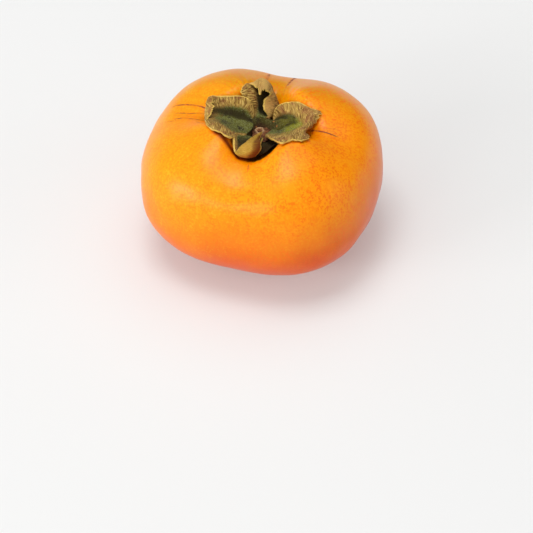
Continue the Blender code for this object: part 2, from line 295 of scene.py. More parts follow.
class Bench:
    """The nodes of one material or of the room's light."""

    def __init__(self, name: str, stock: bpy.types.bpy_prop_collection = bpy.data.materials) -> None:
        """Starts an empty set of nodes.

        Args:
            name: The material's or the room's name.
            stock: Where Blender keeps it.
        """
        self.owner = stock.new(name)
        self.owner.use_nodes = True
        self.tree = self.owner.node_tree
        self.tree.nodes.clear()

    def node(self, kind: str, settings: dict[str, object], values: dict[object, object],
             output: int | str = 0) -> Signal | None:
        """Adds a node.

        Args:
            kind: Its type, after the leading ShaderNode.
            settings: Its settings, which are set first.
            values: For each socket, a signal to link or a plain value.
            output: The output that is wanted.

        Returns:
            That output, or nothing where there is none.
        """
        made = self.tree.nodes.new("ShaderNode" + kind)
        for name, setting in settings.items():
            setattr(made, name, setting)
        for key, value in values.items():
            if isinstance(value, Signal):
                self.tree.links.new(value.socket, made.inputs[key])
            else:
                made.inputs[key].default_value = value
        return Signal(self, made.outputs[output]) if made.outputs else None

    def place(self) -> Signal:
        """The point's own coordinates on the object."""
        return self.node("TexCoord", {}, {}, "Object")

    def attribute(self, name: str) -> Signal:
        """A named value of the mesh's points."""
        return self.node("Attribute", {"attribute_name": name}, {}, "Fac")

    def parts(self, vector: Signal) -> tuple[Signal, Signal, Signal]:
        """A vector's x, y and z."""
        outputs = self.node("SeparateXYZ", {}, {0: vector}).socket.node.outputs
        return Signal(self, outputs[0]), Signal(self, outputs[1]), Signal(self, outputs[2])

    def vector(self, x: object, y: object, z: object = 0.0) -> Signal:
        """A vector of three numbers."""
        return self.node("CombineXYZ", {}, {0: x, 1: y, 2: z})

    def noise(self, vector: Signal, scale: float, detail: float = 2.0, roughness: float = 0.5,
              distortion: float = 0.0) -> Signal:
        """Cloudy noise about 0.5, with scale clouds a metre and detail finer layers."""
        sizes = {"Scale": scale, "Detail": detail, "Roughness": roughness, "Distortion": distortion}
        return self.node("TexNoise", {}, {"Vector": vector, **sizes})

    def cells(self, vector: Signal, scale: float) -> Signal:
        """The distance from the middle of the nearest of scattered cells, in cells."""
        return self.node("TexVoronoi", {}, {"Vector": vector, "Scale": scale}, "Distance")

    def layers(self, base: object, *coats: tuple[object, object]) -> Signal:
        """A colour under coats of others.

        Args:
            base: The lowest colour.
            coats: Each coat's share, from 0 to 1, and its colour.

        Returns:
            The blended colour.
        """
        for factor, colour in coats:
            base = self.node("Mix", {"data_type": "RGBA"}, {FACTOR: factor, UNDER: base, OVER: colour}, BLEND)
        return base

    def relief(self, *coats: tuple[Signal, float, float]) -> Signal:
        """A normal that heights tilt, one after another.

        Args:
            coats: Each height, its unit in metres and its strength.

        Returns:
            The normal.
        """
        below = {}
        for height, reach, strength in coats:
            values = {"Height": height, "Distance": reach, "Strength": strength, **below}
            below = {"Normal": self.node("Bump", {}, values)}
        return below["Normal"]

    def finish(self, values: dict[str, object], shader: str = "BsdfPrincipled",
               output: str = "OutputMaterial") -> bpy.types.ID:
        """Ends the set in a shader, with these values at its sockets, and gives the material or the room."""
        self.node(output, {}, {"Surface": self.node(shader, {}, values)})
        return self.owner


# Finishes


@dataclass(frozen=True)
class SkinFinish:
    """Ripe waxy skin: yellow on the shaded crown, orange on the sunny side, redder low down, partly as
    painted shade.
    """

    ochre: Colour = paint(226, 152, 2)
    gold: Colour = paint(251, 151, 0)
    orange: Colour = paint(255, 151, 0)
    deep: Colour = paint(221, 82, 0)
    freckle: Colour = paint(246, 106, 0)
    fleck: Colour = paint(255, 186, 44)
    foot_shade: Colour = paint(196, 74, 3)
    scar: Colour = paint(118, 48, 44)
    sepal_shadow_red: Colour = paint(190, 80, 2)
    sepal_shadow_dark: Colour = paint(84, 24, 4)
    pit: Colour = paint(104, 66, 22)
    roughness: float = 0.31
    cloud_scale: float = 60.0
    streak_scale: float = 26.0
    speckle_scale: float = 1250.0
    patch_scale: float = 150.0
    scar_wander_scale: float = 900.0
    scar_share_scale: float = 420.0
    pore_scale: float = 1500.0
    grain_scale: float = 1600.0

    def make(self) -> bpy.types.Material:
        """The skin's nodes: tints by place, streaks, freckles, scars, and painted shade along the sepals'
        margins, at the foot and deep in the hollow.

        Returns:
            The material.
        """
        bench = Bench("ripe_skin")
        place = bench.place()
        x, y, z = bench.parts(place)
        clouds = bench.noise(place, self.cloud_scale, 3.0, 0.55)
        drift = (clouds - 0.5) * 0.012
        sunny = (x * 0.9 - y * 0.35 + drift).rise(-0.028, 0.030)
        shaded = (y + drift).rise(-0.004, 0.022) * (z + drift).rise(0.020, 0.050)
        # Redder low down: partly the fruit's own colour and partly painted shade on its lower side.
        low = (z - x * 0.14 + drift * 1.4).rise(0.043, 0.013)

        # Streaks run from crown to base, on the direction round the fruit and a compressed height.
        around = bench.node("VectorMath", {"operation": "NORMALIZE"}, {0: bench.vector(x, y)})
        east, north, _ = bench.parts(around)
        streaks = bench.noise(bench.vector(east, north, z * 6.0), self.streak_scale, 4.0, 0.6)
        speckle = bench.noise(place, self.speckle_scale, 2.0, 0.6)
        patches = bench.noise(place, self.patch_scale, 2.0)
        faded = 1.0 - low * 0.75
        dark = speckle.rise(0.47, 0.62) * patches.rise(0.22, 0.54) * (0.34 + sunny * 0.46) * faded
        pale = speckle.rise(0.47, 0.32) * patches.rise(0.62, 0.40) * (0.40 - sunny * 0.22) * faded

        strength = bench.attribute("scar_strength")
        wander = bench.noise(place, self.scar_wander_scale, 2.0)
        off = abs(bench.attribute("scar_across") + (wander - 0.5) * 0.9)
        thickness = bench.noise(place, self.scar_share_scale, 2.0).rise(0.34, 0.62)
        line = off.rise(1.7, 0.5) * strength * (0.2 + thickness * 0.8)
        halo = off.rise(4.0, 0.6) * strength
        # Painted shadow on the skin just below the left and right sepals' lower margins.
        sepal_shadow = bench.attribute("sepal_shadow") + (clouds - 0.5) * 0.2
        # Painted shade: brown deep in the hollow under the calyx, where shade falls.
        pit = (x * x + y * y).root().rise(0.0150, 0.0105) * z.rise(0.020, 0.030)

        colour = bench.layers(
            self.gold,
            (sunny, self.orange),
            (shaded * 0.9, self.ochre),
            (low, self.deep),
            # Painted shade: darker and redder at the foot, where the fruit nears the floor.
            ((z + drift).rise(0.012, 0.001) * 0.7, self.foot_shade),
            ((streaks - 0.5) * 0.9, self.deep),
            ((0.5 - streaks) * 0.55, self.ochre),
            (dark, self.freckle),
            (pale, self.fleck),
            (halo * 0.28, self.deep),
            (line * 0.85, self.scar),
            # The painted shadow below the sepals: red towards its edge, dark at its core.
            (sepal_shadow.rise(0.05, 0.75) * 0.85, self.sepal_shadow_red),
            (sepal_shadow.rise(0.55, 1.0) * 0.85, self.sepal_shadow_dark),
            (pit * 0.9, self.pit),
        )
        pores = bench.cells(place, self.pore_scale).rise(0.0, 0.5)
        fine = bench.noise(place, self.grain_scale, 3.0, 0.6)
        return bench.finish({
            "Base Color": colour,
            "Roughness": self.roughness + (clouds - 0.5) * 0.16 + line * 0.25,
            "Specular IOR Level": 0.20,
            "Subsurface Weight": 0.05,
            "Subsurface Radius": (1.0, 0.35, 0.08),
            "Subsurface Scale": 0.003,
            "Coat Weight": 0.03,
            "Coat Roughness": 0.25,
            "Coat IOR": 1.4,
            "Normal": bench.relief(
                (pores, 0.00003, 0.35), (fine, 0.00005, 0.35), (clouds, 0.0004, 0.30), (line, -0.00012, 0.8)),
        })


@dataclass(frozen=True)
class SepalFinish:
    """A sepal that is green and downy near its root and dry, fibrous and brown towards its margin."""

    name: str = "sepal"
    moss: Colour = paint(100, 100, 36)
    down: Colour = paint(156, 160, 110)
    lime: Colour = paint(142, 138, 10)
    hollow: Colour = paint(46, 37, 9)
    khaki: Colour = paint(172, 136, 64)
    straw: Colour = paint(230, 194, 112)
    bark: Colour = paint(100, 64, 28)
    wine: Colour = paint(136, 80, 50)
    rim: Colour = paint(238, 200, 96)
    underside: Colour = paint(206, 154, 58)
    underside_shade: Colour = paint(112, 52, 6)
    gold: float = 0.0
    fibre_scale: float = 2.3
    fuzz_scale: float = 2600.0
    mottle_scale: float = 330.0

    def make(self) -> bpy.types.Material:
        """The sepal's nodes: dry strands, green down where it is fresh, painted shade in its folds and on its
        underside, and a pale rim that is partly worn edge and partly painted highlight.

        Returns:
            The material.
        """
        bench = Bench(self.name)
        place = bench.place()
        names = ("fan", "outward", "edge", "side", "fresh", "hollow", "lee", "lime")
        fan, outward, edge, side, fresh, hollow, lee, lime = (bench.attribute(name) for name in names)
        fibres = bench.noise(bench.vector(fan, outward * 3.0, side * 3.0), self.fibre_scale, 2.0, 0.6, 0.2)
        finer = bench.vector(fan * 2.7, outward * 9.0, side * 3.0)
        threads = bench.noise(finer, self.fibre_scale, 2.0, 0.6, 0.2)
        strands = fibres * 0.75 + threads * 0.25
        fuzz = bench.noise(place, self.fuzz_scale, 2.0, 0.6)
        mottle = bench.noise(place, self.mottle_scale, 3.0, 0.6)
        uneven = (mottle - 0.5) * 0.5
        wavy = (fibres - 0.5) * 0.5

        dry = bench.layers(
            self.bark,
            (strands.rise(0.37, 0.54), self.khaki),
            (strands.rise(0.50, 0.64) * 0.7, self.straw),
            (mottle.rise(0.48, 0.62) * 0.55, self.wine),
            (side.rise(0.0, -0.6) * (0.1 + self.gold * 0.9), self.underside),
            # Painted shade on the underside where it turns from the light, where the lee attribute says.
            ((lee + (fibres - 0.5) * 1.4).rise(0.2, 0.9) * 0.9, self.underside_shade),
        )
        green = bench.layers(
            self.hollow,
            (mottle.rise(0.36, 0.52), self.moss),
            (lime * mottle.rise(0.34, 0.56), self.lime),
            (fuzz.rise(0.50, 0.64) * 0.7, self.down),
        )
        colour = bench.layers(
            dry,
            ((fresh + uneven + wavy).rise(0.30, 0.62), green),
            # Painted shade in the sepal's folds and valleys on its upper face.
            ((hollow + wavy).rise(0.30, 0.92) * 0.92, self.hollow),
            # A pale rim along the margin: partly the dry, worn edge and partly a painted highlight on it.
            ((edge + uneven).rise(0.55, 0.10) * 0.85, self.rim),
        )
        return bench.finish({
            "Base Color": colour,
            "Roughness": 0.82 + (fuzz - 0.5) * 0.2,
            **DOWNY,
            "Normal": bench.relief((fuzz, 0.00012, 0.5), (fibres, 0.00025, 0.8)),
        })


@dataclass(frozen=True)
class FleshyFinish:
    """The calyx's downy green middle, with brown round the stub and painted shade in the gap towards one
    side.
    """

    moss: Colour = paint(76, 68, 24)
    grey: Colour = paint(126, 122, 78)
    shade: Colour = paint(38, 30, 9)
    gap: Colour = paint(52, 36, 14)
    lime: Colour = paint(112, 108, 22)
    bark: Colour = paint(74, 44, 26)
    crumb: Colour = paint(196, 120, 60)
    gap_way: tuple[float, float] = (0.669, -0.743)
    mottle_scale: float = 330.0
    down_scale: float = 2600.0
    crumb_scale: float = 330.0

    def make(self) -> bpy.types.Material:
        """The middle's nodes.

        Returns:
            The material.
        """
        bench = Bench("downy_middle")
        place = bench.place()
        x, y, _ = bench.parts(place)
        mottle = bench.noise(place, self.mottle_scale, 3.0, 0.6)
        uneven = (mottle - 0.5) * 0.001
        down = bench.noise(place, self.down_scale, 2.0, 0.6)
        away = x * self.gap_way[0] + y * self.gap_way[1]
        colour = bench.layers(
            self.shade,
            (mottle.rise(0.30, 0.56), self.moss),
            ((x + uneven * 6.0).rise(0.003, 0.008) * 0.4, self.lime),
            (down.rise(0.50, 0.68) * 0.5, self.grey),
            (((x * x + y * y).root() + uneven * 3.0).rise(0.0052, 0.0034) * 0.8, self.bark),
            # Painted shade in the gap between the front and the right sepal.
            ((away + uneven * 2.0).rise(0.0034, 0.0056) * 0.85, self.gap),
            (bench.cells(place, self.crumb_scale).rise(0.16, 0.08) * 0.8, self.crumb),
        )
        return bench.finish({
            "Base Color": colour,
            "Roughness": 0.85,
            **DOWNY,
            "Normal": bench.relief((down, 0.00016, 0.6), (mottle, 0.0005, 0.6)),
        })


@dataclass(frozen=True)
class CorkFinish:
    """Dark corky wood, with a pale ring where its attribute says."""

    name: str = "corky_stub"
    dark: Colour = paint(88, 48, 27)
    light: Colour = paint(140, 87, 50)
    ring: Colour = paint(206, 166, 122)
    grain_scale: float = 900.0

    def make(self) -> bpy.types.Material:
        """The wood's nodes.

        Returns:
            The material.
        """
        bench = Bench(self.name)
        grain = bench.noise(bench.place(), self.grain_scale, 4.0, 0.65)
        pale = bench.attribute("ring") * grain.rise(0.20, 0.50)
        colour = bench.layers(self.dark, (grain.rise(0.35, 0.68), self.light), (pale, self.ring))
        return bench.finish({
            "Base Color": colour,
            "Roughness": 0.8,
            "Specular IOR Level": 0.3,
            "Normal": bench.relief((grain, 0.0004, 0.9)),
        })


@dataclass(frozen=True)
class FloorFinish:
    """White card that glows evenly all over: painted light, which lifts the shadows on it."""

    colour: Colour = (0.64, 0.64, 0.64, 1.0)
    glow: float = 0.20

    def make(self) -> bpy.types.Material:
        """The card's one shader."""
        return Bench("white_card").finish({
            "Base Color": self.colour,
            "Roughness": 0.9,
            "Specular IOR Level": 0.1,
            # Painted light: the card glows though it is no lamp.
            "Emission Color": (1.0, 1.0, 1.0, 1.0),
            "Emission Strength": self.glow,
        })


# The fruit's body


@dataclass(frozen=True)
class Scar:
    """A hairline in the skin, by its points seen from above, in tenths of a millimetre."""

    points: tuple[tuple[int, int], ...]
    strength: float = 1.0
    width: float = 0.00020


SCARS = (
    Scar(((-288, 137), (-254, 121), (-217, 101), (-190, 83))),
    Scar(((-282, 90), (-240, 70), (-193, 59)), 0.75),
    Scar(((-279, 57), (-259, 51), (-222, 29), (-189, 9)), 0.85),
    Scar(((-315, 61), (-296, 51)), 0.4),
    Scar(((-215, 1), (-193, -29)), 0.3),
    Scar(((24, 283), (18, 233)), 0.8, 0.00036),
    Scar(((113, 281), (96, 229), (86, 200)), 1.0, 0.00034),
    Scar(((84, 196), (78, 177), (72, 156)), 0.25),
    Scar(((195, 193), (212, 186)), 0.4),
    Scar(((165, -24), (194, -41), (220, -51), (241, -58))),
    Scar(((221, -30), (236, -30)), 0.4),
    Scar(((-44, -195), (-46, -218)), 0.5),
)

# Lines of painted shadow on the skin, just below the lower margins of the left and right sepals.
SEPAL_SHADOW_LINES = (
    Scar(((-150, -90), (-129, -109), (-101, -134), (-88, -147), (-77, -158)), 1.0, 0.0014),
    Scar(((66, -161), (90, -153), (132, -143)), 0.6, 0.0005),
)


@dataclass(frozen=True)
class FruitBody:
    """The fruit: a softly square, four-lobed body with a star-shaped hollow on top."""

    finish: SkinFinish = SkinFinish()
    equator_radius: float = 0.0400
    crown_rise: float = 0.0289
    crown_fullness: float = 2.47
    base_drop: float = 0.0271
    base_fullness: float = 2.115
    flat_spot_cut: float = 0.0010
    lobe_azimuth: float = radians(29.5)
    lobe_swell: float = 0.037
    ovality: float = 0.035
    oval_azimuth: float = radians(-19)
    crown_tilt: tuple[float, float] = (0.024, -0.024)
    pole_gather: float = 0.35
    furrow_depth: float = 0.0035
    furrow_radius: float = 0.022
    furrow_spread: float = 0.011
    furrow_sharpness: float = 1.3
    hollow_depth: float = 0.0140
    hollow_radius: float = 0.0118
    hollow_arm: float = 0.0042
    notches: tuple[tuple[float, float], ...] = ((radians(281), 0.0016), (radians(232), 0.0010))
    notch_spread: float = radians(11)
    dimple_depth: float = 0.0026
    dimple_radius: float = 0.0050
    groove_depth: float = 0.0013
    groove_radius: float = 0.0160
    groove_spread: float = 0.0070
    blend_reach: float = 0.35
    slope_step: float = 0.0002
    undulation: float = 0.00016
    undulation_length: float = 0.017
    undulation_waves: int = 14
    undulation_start: tuple[float, float] = (0.3, 0.8)
    swell_share: float = 0.5
    swell_length: float = 0.00714
    pucker: float = 0.00010
    pucker_count: int = 46
    pucker_sway: int = 3
    pucker_breaks: int = 7
    pucker_radius: float = 0.0165
    pucker_spread: float = 0.0045
    scar_reach: tuple[float, float] = (5.0, 8.0)
    rings: int = 250
    ring_points: int = 380

    @property
    def equator_height(self) -> float:
        """Height of the widest level above the surface that the fruit rests on."""
        return self.base_drop - self.flat_spot_cut

    def plan_radius(self, azimuth: Array) -> Array:
        """Radius at the equator: a circle with a fourfold swell for lobes and a twofold one for an oval."""
        square = self.lobe_swell * np.cos(4 * (azimuth - self.lobe_azimuth))
        return self.equator_radius * (1 + square + self.ovality * np.cos(2 * (azimuth - self.oval_azimuth)))

    def furrow_share(self, azimuth: Array) -> Array:
        """1 in the middle of a furrow and 0 on a lobe: a raised cosine with four turns, to a power."""
        return (0.5 - 0.5 * np.cos(4 * (azimuth - self.lobe_azimuth))) ** self.furrow_sharpness

    def crown_dent(self, radius: Array, azimuth: Array) -> Array:
        """Depth of the furrows, a bell curve about a ring, and of the flat-bottomed hollow inside it.

        Args:
            radius: Distances from the middle.
            azimuth: Directions round it.

        Returns:
            How far the crown lies below its undented form.
        """
        share = self.furrow_share(azimuth)
        rim = self.hollow_radius + self.hollow_arm * share
        for direction, reach in self.notches:
            rim = rim + reach * np.exp((np.cos(azimuth - direction) - 1) / self.notch_spread ** 2)
        furrow = self.furrow_depth * share * bell(radius - self.furrow_radius, self.furrow_spread)
        return furrow + self.hollow_depth * bell(radius, rim, 4)

    def crown_height(self, x: Array, y: Array) -> Array:
        """Height of the crown's skin over level points: a superellipse, less its dents, plus a slight tilt.

        Args:
            x: Places east.
            y: Places north.

        Returns:
            The heights.
        """
        radius, azimuth = np.hypot(x, y), np.arctan2(y, x)
        inside = 1 - (radius / self.plan_radius(azimuth)) ** self.crown_fullness
        dome = np.maximum(inside, 0) ** (1 / self.crown_fullness)
        tilt = self.crown_tilt[0] * x + self.crown_tilt[1] * y
        return self.equator_height + self.crown_rise * dome - self.crown_dent(radius, azimuth) + tilt

    def above_crown(self, x: Array, y: Array, distance: float) -> Array:
        """Height of a surface that lies a distance off the skin, which its slope lengthens.

        Args:
            x: Places east.
            y: Places north.
            distance: The distance, square to the skin.

        Returns:
            The heights.
        """
        step = self.slope_step
        slope_x = (self.crown_height(x + step, y) - self.crown_height(x - step, y)) / (2 * step)
        slope_y = (self.crown_height(x, y + step) - self.crown_height(x, y - step)) / (2 * step)
        return self.crown_height(x, y) + distance * np.sqrt(1 + slope_x ** 2 + slope_y ** 2)

    def surface(self) -> Array:
        """The skin from pole to pole: each direction's reach is a superellipse in across and height.

        The crown is dented, the base has grooves and a dimple and is cut by what it rests on, and the skin
        swells and sinks a little in long soft waves, with small puckers round the hollow.

        Returns:
            Points as (rings, points a ring, 3).
        """
        polar, azimuth = globe_grid(self.rings, self.ring_points)
        polar = polar - self.pole_gather / 2 * np.sin(2 * polar)
        across, height = np.sin(polar), np.cos(polar)
        drop = np.where(height > 0, self.crown_rise, self.base_drop)
        fullness = np.where(height > 0, self.crown_fullness, self.base_fullness)
        level = (across / self.plan_radius(azimuth)) ** fullness
        reach = (level + (np.abs(height) / drop) ** fullness) ** (-1 / fullness)
        radius, z = reach * across, reach * height

        smooth, count = as_points(*off_centre(radius, azimuth), z), self.undulation_waves
        waves = ripples(smooth, self.undulation_length, count, seed=11)
        waves = waves + self.swell_share * ripples(smooth, self.swell_length, count, seed=12)
        waves = waves * smooth_step(across, *self.undulation_start)
        radius = radius * (1 + self.undulation / self.equator_radius * waves)
        x, y = off_centre(radius, azimuth)

        crown = smooth_step(height / self.blend_reach)
        z = z + crown * (self.crown_tilt[0] * x + self.crown_tilt[1] * y - self.crown_dent(radius, azimuth))
        sway = self.pucker_sway * np.sin(self.pucker_sway * azimuth)
        puckers = np.sin(self.pucker_count * azimuth + sway) * np.sin(self.pucker_breaks * azimuth + 1)
        z = z + crown * self.pucker * puckers * bell(radius - self.pucker_radius, self.pucker_spread)
        groove = self.furrow_share(azimuth) * bell(radius - self.groove_radius, self.groove_spread)
        dimple = self.dimple_depth * bell(radius, self.dimple_radius)
        z = z + smooth_step(-height / self.blend_reach) * (self.groove_depth * groove + dimple)
        return as_points(x, y, np.maximum(self.equator_height + z, 0))

    def scar_values(self, x: Array, y: Array, scars: tuple[Scar, ...]) -> tuple[Array, Array]:
        """How far each point lies across the nearest scar, with a sign for its side, and the scar's strength.

        As complex numbers, points are divided by a stretch's direction, which lays it along the real line.

        Args:
            x: Places east.
            y: Places north.
            scars: The scars.

        Returns:
            The distance in widths of the scar, and the strength, which fades a few widths away.
        """
        signed = np.full(x.shape, FAR)
        strength = np.zeros(x.shape)
        for scar in scars:
            knots = np.array(scar.points) @ (1, 1j) / TENTHS
            for start, step in zip(knots, np.diff(knots)):
                turned = (x + 1j * y - start) * abs(step) / step
                off = turned - np.clip(turned.real, 0, abs(step))
                away = np.abs(off) / scar.width
                closer = away < np.abs(signed)
                signed = np.where(closer, np.where(off.imag < 0, -away, away), signed)
                strength = np.where(closer, scar.strength, strength)
        return signed, strength * (1 - smooth_step(np.abs(signed), *self.scar_reach))

    def build(self) -> Piece:
        """Makes the body, which stands for the solid of the same form.

        Returns:
            The piece.
        """
        points, faces = pole_to_pole(self.surface())
        x, y, z = points.T
        crown = z > self.equator_height
        across, strength = self.scar_values(x, y, SCARS)
        # Painted shadow below the sepals' margins, fading a width away.
        beside, sepal_shadow_strength = self.scar_values(x, y, SEPAL_SHADOW_LINES)
        values = {
            "scar_across": across,
            "scar_strength": strength * crown,
            "sepal_shadow": crown * sepal_shadow_strength * bell(beside, 1),
        }
        return settle(make_piece("fruit_skin", points, faces, self.finish.make(), values), "fruit")


# The calyx


@dataclass(frozen=True)
class SepalCut:
    """What every sepal has in common: its grid, its ragged outline, its fibres and its thickness."""

    rows: int = 150
    columns: int = 110
    gather: float = 0.45
    ragged: float = 0.022
    bite_length: float = 0.34
    bite_count: int = 5
    bite_start: float = 0.4
    side_seed: int = 100
    nick_length: float = 0.13
    nicks: int = 6
    nick_share: float = 0.35
    clearance: float = 0.00055
    landing: float = 0.0004
    root_thickness: float = 0.0009
    margin_thickness: float = 0.00042
    edge_round: float = 0.00035
    worn_and_lit_edge: float = 0.0008
    rib_height: float = 0.00003
    rib_spacing: float = 0.00065
    rib_start: tuple[float, float] = (0.0025, 0.006)
    rib_aside: tuple[float, float] = (0.001, 0.004)
    rib_wander: float = 0.35
    wander_length: float = 0.006
    wander_waves: int = 6
    wander_seed: int = 40
    crumple: float = 0.00012
    crumple_length: float = 0.0046
    crumple_waves: int = 10
    crumple_seed: int = 50
    lime_onward: tuple[float, float] = (0.2, 0.45)
    lime_across: tuple[float, float] = (0.75, 0.5)
    vein_sweep: float = 0.0010
    vein_bend: float = 0.0030

    def gathered(self, even: Array) -> Array:
        """Even places drawn together towards -1 and 1, by a share of a quarter turn of a sine."""
        return (1 - self.gather) * even + self.gather * np.sin(pi / 2 * even)

    def bites(self, along_edge: Array, toward_edge: Array, seed: int) -> Array:
        """Small uneven bites out of a margin: waves of falling length along it, which grow towards it.

        Args:
            along_edge: Places along the margin.
            toward_edge: Places from the blade's middle (0) to the margin (1 or -1).
            seed: The draw's seed.

        Returns:
            The factor on the way to the margin, as (places toward it, places along it).
        """
        line = along_edge[:, None]
        nicks = ripples(line, self.nick_length, self.nicks, seed + 1)
        waves = ripples(line, self.bite_length, self.bite_count, seed) + self.nick_share * nicks - 1
        return 1 + self.ragged * waves[None, :] * smooth_step(np.abs(toward_edge), self.bite_start)[:, None]

    def fan(self, forth: Array, aside: Array) -> Array:
        """Which fibre a point lies on: off the midrib they run forth by sweep * (1 - exp(-aside / bend))."""
        swept = forth - self.vein_sweep * (1 - np.exp(-np.abs(aside) / self.vein_bend))
        return swept / self.rib_spacing


def curve_weights(share: Array, count: int) -> Array:
    """How much each of some even knots counts in a curve through them, led out straight past its ends.

    A knot d steps away counts 1.5 d^3 - 2.5 d^2 + 1 up to one and -0.5 d^3 + 2.5 d^2 - 4 d + 2 up to two.

    Args:
        share: Places from 0 (the first knot) to 1 (the last).
        count: How many knots there are.

    Returns:
        The weights, with the knots along the last axis.
    """
    away = np.abs(share[..., None] * (count - 1) - np.arange(-1, count + 1))
    near = 1.5 * away ** 3 - 2.5 * away ** 2 + 1
    far = -0.5 * away ** 3 + 2.5 * away ** 2 - 4 * away + 2
    weights = np.where(away < 1, near, np.where(away < 2, far, 0))
    inner = weights[..., 1:-1].copy()
    for end, past, step in ((0, 0, 1), (-1, -1, -1)):
        inner[..., end] += 2 * weights[..., past]
        inner[..., end + step] -= weights[..., past]
    return inner


@dataclass(frozen=True)
class Sepal:
    """One lobe of the calyx, by a cage of points that its blade passes through, in tenths of a millimetre.

    The cage's rows run from the clockwise margin to the other one, and follow one another to the tip.
    """

    name: str
    cage: tuple[Row, ...]
    finish: SepalFinish
    fresh_across: tuple[float, ...]
    fresh_onward: tuple[float, ...]
    # Runs of painted shade in the blade's folds, on its upper face.
    fold_shade_across: tuple[float, ...]
    fold_shade_onward: tuple[float, ...]
    # A run of painted shade on the underside, across the blade.
    underside_shade_across: tuple[float, ...] = (0.0,)
    lime: float = 0.0
    seed: int = 1

    def surface(self, u: Array, v: Array, fruit: FruitBody, cut: SepalCut) -> tuple[Array, Array, Array]:
        """The middle surface: curves through the cage's points, down its columns and then along its rows.

        Where the blade would sink into the skin, it is lifted: (a + b + sqrt((a - b)^2 + k^2)) / 2 is the
        greater of the heights a and b, with its corner rounded off within k.

        Args:
            u: Places from root (0) to tip (1).
            v: Places across, from -1 to 1.
            fruit: What the sepal lies on.
            cut: What the sepals have in common.

        Returns:
            The points, and for each its way along the blade from the root and across it from the middle.
        """
        onward = u[:, None] * cut.bites(v, u, self.seed)
        across = (1 + v[None, :] * cut.bites(u, v, self.seed + cut.side_seed).T) / 2
        cage = np.array(self.cage) / TENTHS
        weights = curve_weights(onward, cage.shape[0]), curve_weights(across, cage.shape[1])
        points = np.einsum("rci,rcj,ijk->rck", *weights, cage)
        lowest = fruit.above_crown(points[..., 0], points[..., 1], cut.clearance)
        gap = points[..., 2] - lowest
        points[..., 2] = lowest + (gap + np.sqrt(gap ** 2 + cut.landing ** 2)) / 2
        forth, aside = self._length(points, 0), self._length(points, 1)
        return points, forth, aside - aside[:, len(v) // 2, None]

    @staticmethod
    def _length(points: Array, axis: int) -> Array:
        """The way covered from the first point of each column (axis 0) or row (1) of a grid, step by step."""
        steps = np.diff(points, axis=axis, prepend=np.take(points, [0], axis=axis))
        return np.cumsum(np.linalg.norm(steps, axis=-1), axis=axis)


LEFT_CAGE = (
    ((-35, 63, 448), (-33, 54, 448), (-31, 42, 450), (-30, 14, 455), (-46, -26, 467), (-59, -46, 472)),
    ((-28, 76, 481), (-30, 62, 464), (-49, 48, 461), (-57, 22, 464), (-79, -36, 484), (-89, -84, 501)),
    ((-45, 92, 518), (-45, 76, 493), (-75, 54, 468), (-89, 20, 472), (-102, -36, 499), (-103, -116, 526)),
    ((-96, 98, 526), (-95, 82, 506), (-103, 56, 482), (-113, 22, 483), (-127, -26, 508), (-130, -114, 539)),
    ((-146, 98, 523), (-143, 82, 506), (-136, 58, 488), (-143, 22, 489), (-155, -48, 534), (-155, -96, 540)),
    ((-174, 98, 521), (-182, 72, 515), (-186, 44, 510), (-187, 10, 511), (-185, -26, 522), (-177, -71, 537)),
    ((-159, 90, 519), (-159, 62, 524), (-156, 32, 525), (-167, 2, 522), (-179, -30, 525), (-177, -58, 534)),
)
BACK_CAGE = (
    ((26, 66, 448), (19, 61, 453), (7, 58, 458), (-6, 56, 464), (-16, 59, 457), (-23, 64, 449)),
    ((5, 78, 479), (37, 86, 457), (21, 111, 431), (-6, 104, 448), (-19, 86, 465), (-30, 86, 457)),
    ((1, 96, 486), (52, 124, 453), (30, 130, 455), (-7, 122, 470), (-26, 98, 492), (-46, 96, 486)),
    ((7, 110, 494), (47, 140, 473), (26, 156, 466), (-8, 143, 493), (-33, 120, 513), (-68, 109, 517)),
    ((20, 124, 493), (37, 162, 486), (21, 176, 492), (-11, 163, 509), (-37, 140, 525), (-73, 117, 526)),
    ((33, 132, 503), (31, 164, 502), (16, 182, 514), (-5, 180, 524), (-26, 150, 535), (-60, 140, 532)),
    ((31, 126, 510), (21, 118, 514), (8, 126, 518), (-5, 106, 518), (-23, 130, 533), (-39, 146, 535)),
)
RIGHT_CAGE = (
    ((17, -46, 467), (11, -32, 462), (31, 10, 445), (37, 43, 447), (40, 56, 450), (42, 66, 449)),
    ((35, -90, 494), (42, -52, 477), (59, 6, 452), (59, 50, 455), (47, 68, 458), (39, 80, 457)),
    ((58, -161, 546), (70, -64, 490), (81, 8, 460), (80, 40, 464), (63, 64, 485), (48, 80, 487)),
    ((90, -160, 548), (97, -72, 504), (109, 0, 475), (102, 28, 479), (88, 58, 498), (80, 80, 513)),
    ((124, -150, 545), (125, -76, 517), (132, -16, 497), (126, 14, 502), (119, 40, 513), (116, 63, 526)),
    ((152, -133, 535), (137, -86, 528), (155, -40, 519), (158, -10, 521), (159, 16, 524), (155, 32, 530)),
    ((156, -109, 527), (144, -21, 470), (167, -23, 491), (186, -10, 509), (200, 10, 521), (186, 19, 525)),
)
